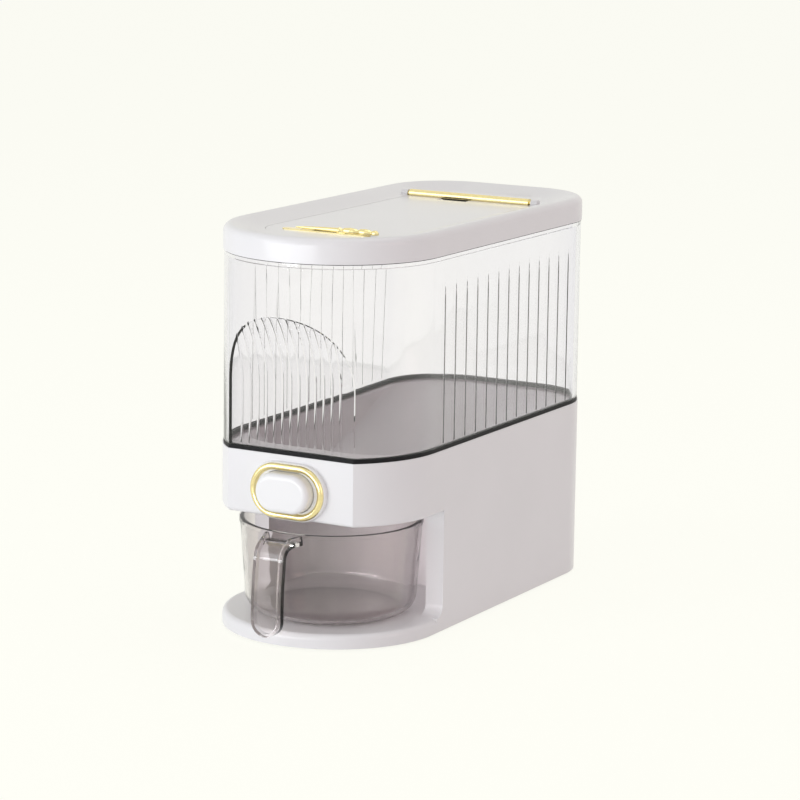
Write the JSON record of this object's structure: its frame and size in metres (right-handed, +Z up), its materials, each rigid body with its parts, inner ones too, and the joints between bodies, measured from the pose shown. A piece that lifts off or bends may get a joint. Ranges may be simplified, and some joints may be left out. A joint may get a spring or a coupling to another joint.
{
  "type": "rice dispenser",
  "caption": "Countertop rice dispenser: clear fluted tank with flip lid on a white base, push button that slides a gate, and a smoky measuring cup that draws out as a drawer.",
  "frame": {"origin": "on the floor, at the middle of the box around the whole object, cup handle included", "axes": "+Z up, front with button and cup towards -Y, +X to the right of someone facing the front"},
  "size_m": [0.15, 0.334, 0.27],
  "materials": {
    "white_shell": "satin white moulded plastic",
    "white_trim": "smooth white moulded plastic",
    "inner_white": "plain white moulded plastic",
    "gold_trim": "polished pale gold plating",
    "clear_tank": "clear moulded plastic, polished",
    "smoke_hopper": "smoky grey moulded plastic",
    "smoke_cup": "smoky grey clear plastic, polished",
    "dark_seal": "black silicone",
    "seal_clear": "translucent silicone",
    "feet_rubber": "dark soft rubber",
    "screw_steel": "zinc plated",
    "spring_steel": "drawn spring wire"
  },
  "bodies": {
    "base": {"base_housing": "white_shell", "underside_cover": "white_shell", "rubber_feet": "feet_rubber", "base_screws": "screw_steel", "button_collar": "white_trim", "button_ring": "gold_trim", "button_guide": "inner_white", "return_spring": "spring_steel", "gate_frame": "inner_white", "outlet_chute": "inner_white", "hopper": "smoke_hopper", "tank_seal": "dark_seal", "tank": "clear_tank"},
    "button": {"button_cap": "white_trim", "push_rod": "inner_white", "gate_slide": "inner_white"},
    "cup": {"measuring_cup": "smoke_cup"},
    "lid": {"lid_frame": "white_shell", "lid_seal": "seal_clear"},
    "flap": {"lid_flap": "white_shell", "hinge_bar": "gold_trim", "latch_plate": "gold_trim"},
    "latch": {"latch_slider": "gold_trim", "latch_tongue": "inner_white"}
  },
  "joints": [
    {"name": "cup_slide", "type": "slide", "parent": "base", "child": "cup", "axis": [0, -1, 0], "range_m": [0, 0.15]},
    {"name": "button_press", "type": "slide", "parent": "base", "child": "button", "axis": [0, 1, 0], "range_m": [0, 0.008], "stiffness_N_per_m": 300, "springref_m": -0.004, "deforming": ["return_spring"]},
    {"name": "lid_lift", "type": "slide", "parent": "base", "child": "lid", "axis": [0, 0, 1], "range_m": [0, 0.12]},
    {"name": "flap_hinge", "type": "hinge", "parent": "lid", "child": "flap", "pos_m": [0, 0.103, 0.2667], "axis": [-1, 0, 0], "range_deg": [0, 105]},
    {"name": "latch_slide", "type": "slide", "parent": "flap", "child": "latch", "axis": [-1, 0, 0], "range_m": [0, 0.018]}
  ]
}
